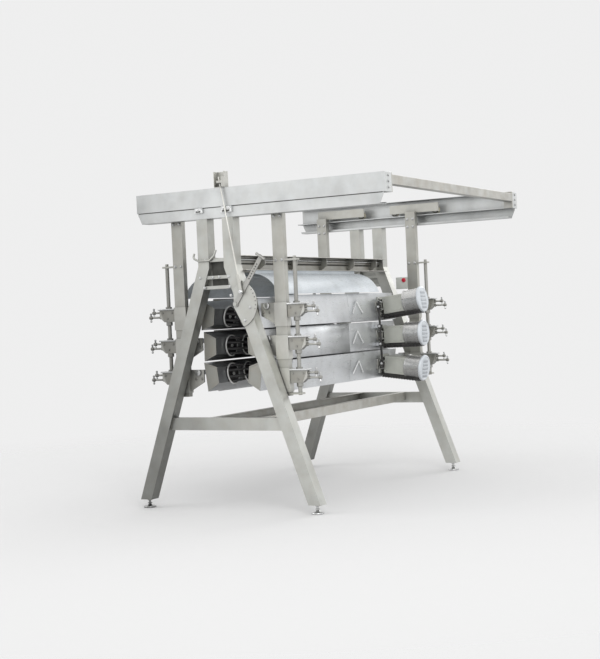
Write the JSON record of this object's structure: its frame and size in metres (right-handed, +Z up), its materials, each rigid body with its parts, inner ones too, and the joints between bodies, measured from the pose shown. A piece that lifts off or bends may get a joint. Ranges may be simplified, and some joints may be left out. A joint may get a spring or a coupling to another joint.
{
  "type": "poultry plucking machine",
  "caption": "A-frame poultry plucker: tilting finger-disc banks on rolling hanging carriages face a lane for birds carried by an overhead conveyor.",
  "frame": {"origin": "centre of the bottom of the bounding box, on the floor", "axes": "+Y along the lane from the lever end to the motor end, +X towards the long beam ends, +Z up"},
  "size_m": [2.34, 2.8226, 2.678],
  "materials": {
    "frame_steel": "satin welded stainless tube",
    "beam_steel": "satin folded stainless sheet",
    "sheet_steel": "satin thin stainless sheet",
    "casing_steel": "satin stainless covers",
    "clamp_steel": "satin stainless weldments",
    "motor_shell": "cast and folded shell, matt grey",
    "finger_rubber": "black moulded rubber",
    "lever_steel": "satin flat bar",
    "box_plastic": "grey moulded box",
    "button_red": "glossy red"
  },
  "bodies": {
    "frame": {"near_a_frame": "frame_steel", "far_a_frame": "frame_steel", "lower_rails": "frame_steel", "top_rails": "frame_steel", "splash_hoods": "sheet_steel", "near_beam": "beam_steel", "far_beam": "beam_steel", "tie_tube": "beam_steel", "levelling_feet": "frame_steel", "cable_bracket": "lever_steel"},
    "left_carriage": {"left_posts": "clamp_steel"},
    "left_lift": {"left_clamps": "clamp_steel"},
    "left_top_bank": {"left_top_housing": "casing_steel", "left_top_motor": "motor_shell"},
    "left_top_spinner_1": {"left_top_disc_1": "finger_rubber"},
    "left_top_spinner_2": {"left_top_disc_2": "finger_rubber"},
    "left_top_spinner_3": {"left_top_disc_3": "finger_rubber"},
    "left_top_spinner_4": {"left_top_disc_4": "finger_rubber"},
    "left_top_spinner_5": {"left_top_disc_5": "finger_rubber"},
    "left_middle_bank": {"left_middle_housing": "casing_steel", "left_middle_motor": "motor_shell"},
    "left_middle_spinner_1": {"left_middle_disc_1": "finger_rubber"},
    "left_middle_spinner_2": {"left_middle_disc_2": "finger_rubber"},
    "left_middle_spinner_3": {"left_middle_disc_3": "finger_rubber"},
    "left_middle_spinner_4": {"left_middle_disc_4": "finger_rubber"},
    "left_middle_spinner_5": {"left_middle_disc_5": "finger_rubber"},
    "left_bottom_bank": {"left_bottom_housing": "casing_steel", "left_bottom_motor": "motor_shell"},
    "left_bottom_spinner_1": {"left_bottom_disc_1": "finger_rubber"},
    "left_bottom_spinner_2": {"left_bottom_disc_2": "finger_rubber"},
    "left_bottom_spinner_3": {"left_bottom_disc_3": "finger_rubber"},
    "left_bottom_spinner_4": {"left_bottom_disc_4": "finger_rubber"},
    "left_bottom_spinner_5": {"left_bottom_disc_5": "finger_rubber"},
    "right_carriage": {"right_posts": "clamp_steel", "stop_box": "box_plastic"},
    "right_lift": {"right_clamps": "clamp_steel"},
    "right_top_bank": {"right_top_housing": "casing_steel", "right_top_motor": "motor_shell"},
    "right_top_spinner_1": {"right_top_disc_1": "finger_rubber"},
    "right_top_spinner_2": {"right_top_disc_2": "finger_rubber"},
    "right_top_spinner_3": {"right_top_disc_3": "finger_rubber"},
    "right_top_spinner_4": {"right_top_disc_4": "finger_rubber"},
    "right_top_spinner_5": {"right_top_disc_5": "finger_rubber"},
    "right_middle_bank": {"right_middle_housing": "casing_steel", "right_middle_motor": "motor_shell"},
    "right_middle_spinner_1": {"right_middle_disc_1": "finger_rubber"},
    "right_middle_spinner_2": {"right_middle_disc_2": "finger_rubber"},
    "right_middle_spinner_3": {"right_middle_disc_3": "finger_rubber"},
    "right_middle_spinner_4": {"right_middle_disc_4": "finger_rubber"},
    "right_middle_spinner_5": {"right_middle_disc_5": "finger_rubber"},
    "right_bottom_bank": {"right_bottom_housing": "casing_steel", "right_bottom_motor": "motor_shell"},
    "right_bottom_spinner_1": {"right_bottom_disc_1": "finger_rubber"},
    "right_bottom_spinner_2": {"right_bottom_disc_2": "finger_rubber"},
    "right_bottom_spinner_3": {"right_bottom_disc_3": "finger_rubber"},
    "right_bottom_spinner_4": {"right_bottom_disc_4": "finger_rubber"},
    "right_bottom_spinner_5": {"right_bottom_disc_5": "finger_rubber"},
    "lever": {"adjusting_lever": "lever_steel"},
    "pull_rod": {"lever_rod": "lever_steel"},
    "button": {"stop_button": "button_red"}
  },
  "joints": [
    {"name": "left_carriage_roll", "type": "slide", "parent": "frame", "child": "left_carriage", "axis": [1, 0, 0], "range_m": [-0.2, 0.015]},
    {"name": "left_lift_screw", "type": "slide", "parent": "left_carriage", "child": "left_lift", "axis": [0, 0, 1], "range_m": [0, 0.06]},
    {"name": "left_top_tilt", "type": "hinge", "parent": "left_lift", "child": "left_top_bank", "pos_m": [-0.63696, 0.0203, 1.605], "axis": [0, 1, 0], "range_deg": [-2, 2]},
    {"name": "left_top_spin_1", "type": "hinge", "parent": "left_top_bank", "child": "left_top_spinner_1", "pos_m": [-0.45782, -1.0307, 1.53767], "axis": [0.9925, 0, -0.1219], "continuous": true},
    {"name": "left_top_spin_2", "type": "hinge", "parent": "left_top_bank", "child": "left_top_spinner_2", "pos_m": [-0.45782, -0.7807, 1.53767], "axis": [0.9925, 0, -0.1219], "continuous": true},
    {"name": "left_top_spin_3", "type": "hinge", "parent": "left_top_bank", "child": "left_top_spinner_3", "pos_m": [-0.45782, -0.5307, 1.53767], "axis": [0.9925, 0, -0.1219], "continuous": true},
    {"name": "left_top_spin_4", "type": "hinge", "parent": "left_top_bank", "child": "left_top_spinner_4", "pos_m": [-0.45782, -0.2807, 1.53767], "axis": [0.9925, 0, -0.1219], "continuous": true},
    {"name": "left_top_spin_5", "type": "hinge", "parent": "left_top_bank", "child": "left_top_spinner_5", "pos_m": [-0.45782, -0.0307, 1.53767], "axis": [0.9925, 0, -0.1219], "continuous": true},
    {"name": "left_middle_tilt", "type": "hinge", "parent": "left_lift", "child": "left_middle_bank", "pos_m": [-0.63696, 0.0203, 1.349], "axis": [0, 1, 0], "range_deg": [-2, 2]},
    {"name": "left_middle_spin_1", "type": "hinge", "parent": "left_middle_bank", "child": "left_middle_spinner_1", "pos_m": [-0.45177, -1.0307, 1.30076], "axis": [0.9998, 0, -0.0175], "continuous": true},
    {"name": "left_middle_spin_2", "type": "hinge", "parent": "left_middle_bank", "child": "left_middle_spinner_2", "pos_m": [-0.45177, -0.7807, 1.30076], "axis": [0.9998, 0, -0.0175], "continuous": true},
    {"name": "left_middle_spin_3", "type": "hinge", "parent": "left_middle_bank", "child": "left_middle_spinner_3", "pos_m": [-0.45177, -0.5307, 1.30076], "axis": [0.9998, 0, -0.0175], "continuous": true},
    {"name": "left_middle_spin_4", "type": "hinge", "parent": "left_middle_bank", "child": "left_middle_spinner_4", "pos_m": [-0.45177, -0.2807, 1.30076], "axis": [0.9998, 0, -0.0175], "continuous": true},
    {"name": "left_middle_spin_5", "type": "hinge", "parent": "left_middle_bank", "child": "left_middle_spinner_5", "pos_m": [-0.45177, -0.0307, 1.30076], "axis": [0.9998, 0, -0.0175], "continuous": true},
    {"name": "left_bottom_tilt", "type": "hinge", "parent": "left_lift", "child": "left_bottom_bank", "pos_m": [-0.63696, 0.0203, 1.093], "axis": [0, 1, 0], "range_deg": [-2, 2]},
    {"name": "left_bottom_spin_1", "type": "hinge", "parent": "left_bottom_bank", "child": "left_bottom_spinner_1", "pos_m": [-0.44686, -1.0307, 1.071], "axis": [0.9925, 0, 0.1219], "continuous": true},
    {"name": "left_bottom_spin_2", "type": "hinge", "parent": "left_bottom_bank", "child": "left_bottom_spinner_2", "pos_m": [-0.44686, -0.7807, 1.071], "axis": [0.9925, 0, 0.1219], "continuous": true},
    {"name": "left_bottom_spin_3", "type": "hinge", "parent": "left_bottom_bank", "child": "left_bottom_spinner_3", "pos_m": [-0.44686, -0.5307, 1.071], "axis": [0.9925, 0, 0.1219], "continuous": true},
    {"name": "left_bottom_spin_4", "type": "hinge", "parent": "left_bottom_bank", "child": "left_bottom_spinner_4", "pos_m": [-0.44686, -0.2807, 1.071], "axis": [0.9925, 0, 0.1219], "continuous": true},
    {"name": "left_bottom_spin_5", "type": "hinge", "parent": "left_bottom_bank", "child": "left_bottom_spinner_5", "pos_m": [-0.44686, -0.0307, 1.071], "axis": [0.9925, 0, 0.1219], "continuous": true},
    {"name": "right_carriage_roll", "type": "slide", "parent": "frame", "child": "right_carriage", "axis": [1, 0, 0], "range_m": [-0.015, 0.6]},
    {"name": "right_lift_screw", "type": "slide", "parent": "right_carriage", "child": "right_lift", "axis": [0, 0, 1], "range_m": [0, 0.06]},
    {"name": "right_top_tilt", "type": "hinge", "parent": "right_lift", "child": "right_top_bank", "pos_m": [0.03304, 0.0203, 1.605], "axis": [0, 1, 0], "range_deg": [-2, 2]},
    {"name": "right_top_spin_1", "type": "hinge", "parent": "right_top_bank", "child": "right_top_spinner_1", "pos_m": [-0.14608, -1.0307, 1.53767], "axis": [0.9925, 0, 0.1219], "continuous": true},
    {"name": "right_top_spin_2", "type": "hinge", "parent": "right_top_bank", "child": "right_top_spinner_2", "pos_m": [-0.14608, -0.7807, 1.53767], "axis": [0.9925, 0, 0.1219], "continuous": true},
    {"name": "right_top_spin_3", "type": "hinge", "parent": "right_top_bank", "child": "right_top_spinner_3", "pos_m": [-0.14608, -0.5307, 1.53767], "axis": [0.9925, 0, 0.1219], "continuous": true},
    {"name": "right_top_spin_4", "type": "hinge", "parent": "right_top_bank", "child": "right_top_spinner_4", "pos_m": [-0.14608, -0.2807, 1.53767], "axis": [0.9925, 0, 0.1219], "continuous": true},
    {"name": "right_top_spin_5", "type": "hinge", "parent": "right_top_bank", "child": "right_top_spinner_5", "pos_m": [-0.14608, -0.0307, 1.53767], "axis": [0.9925, 0, 0.1219], "continuous": true},
    {"name": "right_middle_tilt", "type": "hinge", "parent": "right_lift", "child": "right_middle_bank", "pos_m": [0.03304, 0.0203, 1.349], "axis": [0, 1, 0], "range_deg": [-2, 2]},
    {"name": "right_middle_spin_1", "type": "hinge", "parent": "right_middle_bank", "child": "right_middle_spinner_1", "pos_m": [-0.15214, -1.0307, 1.30076], "axis": [0.9998, 0, 0.0175], "continuous": true},
    {"name": "right_middle_spin_2", "type": "hinge", "parent": "right_middle_bank", "child": "right_middle_spinner_2", "pos_m": [-0.15214, -0.7807, 1.30076], "axis": [0.9998, 0, 0.0175], "continuous": true},
    {"name": "right_middle_spin_3", "type": "hinge", "parent": "right_middle_bank", "child": "right_middle_spinner_3", "pos_m": [-0.15214, -0.5307, 1.30076], "axis": [0.9998, 0, 0.0175], "continuous": true},
    {"name": "right_middle_spin_4", "type": "hinge", "parent": "right_middle_bank", "child": "right_middle_spinner_4", "pos_m": [-0.15214, -0.2807, 1.30076], "axis": [0.9998, 0, 0.0175], "continuous": true},
    {"name": "right_middle_spin_5", "type": "hinge", "parent": "right_middle_bank", "child": "right_middle_spinner_5", "pos_m": [-0.15214, -0.0307, 1.30076], "axis": [0.9998, 0, 0.0175], "continuous": true},
    {"name": "right_bottom_tilt", "type": "hinge", "parent": "right_lift", "child": "right_bottom_bank", "pos_m": [0.03304, 0.0203, 1.093], "axis": [0, 1, 0], "range_deg": [-2, 2]},
    {"name": "right_bottom_spin_1", "type": "hinge", "parent": "right_bottom_bank", "child": "right_bottom_spinner_1", "pos_m": [-0.15705, -1.0307, 1.071], "axis": [0.9925, 0, -0.1219], "continuous": true},
    {"name": "right_bottom_spin_2", "type": "hinge", "parent": "right_bottom_bank", "child": "right_bottom_spinner_2", "pos_m": [-0.15705, -0.7807, 1.071], "axis": [0.9925, 0, -0.1219], "continuous": true},
    {"name": "right_bottom_spin_3", "type": "hinge", "parent": "right_bottom_bank", "child": "right_bottom_spinner_3", "pos_m": [-0.15705, -0.5307, 1.071], "axis": [0.9925, 0, -0.1219], "continuous": true},
    {"name": "right_bottom_spin_4", "type": "hinge", "parent": "right_bottom_bank", "child": "right_bottom_spinner_4", "pos_m": [-0.15705, -0.2807, 1.071], "axis": [0.9925, 0, -0.1219], "continuous": true},
    {"name": "right_bottom_spin_5", "type": "hinge", "parent": "right_bottom_bank", "child": "right_bottom_spinner_5", "pos_m": [-0.15705, -0.0307, 1.071], "axis": [0.9925, 0, -0.1219], "continuous": true},
    {"name": "lever_swing", "type": "hinge", "parent": "frame", "child": "lever", "pos_m": [-0.15996, -1.3787, 1.631], "axis": [0, 1, 0], "range_deg": [-12, 8]},
    {"name": "pull_rod_pivot", "type": "hinge", "parent": "lever", "child": "pull_rod", "pos_m": [-0.09571, -1.3933, 1.72274], "axis": [0, 1, 0], "range_deg": [-8.8, 13.2]},
    {"name": "stop_press", "type": "slide", "parent": "right_carriage", "child": "button", "axis": [0, 1, 0], "range_m": [0, 0.006], "stiffness_N_per_m": 900}
  ],
  "couplings": [
    {"joint": "left_top_spin_2", "follows": "left_top_spin_1", "ratio": -1},
    {"joint": "left_top_spin_3", "follows": "left_top_spin_1", "ratio": 1},
    {"joint": "left_top_spin_4", "follows": "left_top_spin_1", "ratio": -1},
    {"joint": "left_top_spin_5", "follows": "left_top_spin_1", "ratio": 1},
    {"joint": "left_middle_spin_2", "follows": "left_middle_spin_1", "ratio": -1},
    {"joint": "left_middle_spin_3", "follows": "left_middle_spin_1", "ratio": 1},
    {"joint": "left_middle_spin_4", "follows": "left_middle_spin_1", "ratio": -1},
    {"joint": "left_middle_spin_5", "follows": "left_middle_spin_1", "ratio": 1},
    {"joint": "left_bottom_spin_2", "follows": "left_bottom_spin_1", "ratio": -1},
    {"joint": "left_bottom_spin_3", "follows": "left_bottom_spin_1", "ratio": 1},
    {"joint": "left_bottom_spin_4", "follows": "left_bottom_spin_1", "ratio": -1},
    {"joint": "left_bottom_spin_5", "follows": "left_bottom_spin_1", "ratio": 1},
    {"joint": "right_top_spin_2", "follows": "right_top_spin_1", "ratio": -1},
    {"joint": "right_top_spin_3", "follows": "right_top_spin_1", "ratio": 1},
    {"joint": "right_top_spin_4", "follows": "right_top_spin_1", "ratio": -1},
    {"joint": "right_top_spin_5", "follows": "right_top_spin_1", "ratio": 1},
    {"joint": "right_middle_spin_2", "follows": "right_middle_spin_1", "ratio": -1},
    {"joint": "right_middle_spin_3", "follows": "right_middle_spin_1", "ratio": 1},
    {"joint": "right_middle_spin_4", "follows": "right_middle_spin_1", "ratio": -1},
    {"joint": "right_middle_spin_5", "follows": "right_middle_spin_1", "ratio": 1},
    {"joint": "right_bottom_spin_2", "follows": "right_bottom_spin_1", "ratio": -1},
    {"joint": "right_bottom_spin_3", "follows": "right_bottom_spin_1", "ratio": 1},
    {"joint": "right_bottom_spin_4", "follows": "right_bottom_spin_1", "ratio": -1},
    {"joint": "right_bottom_spin_5", "follows": "right_bottom_spin_1", "ratio": 1},
    {"joint": "pull_rod_pivot", "follows": "lever_swing", "ratio": -1.094}
  ]
}
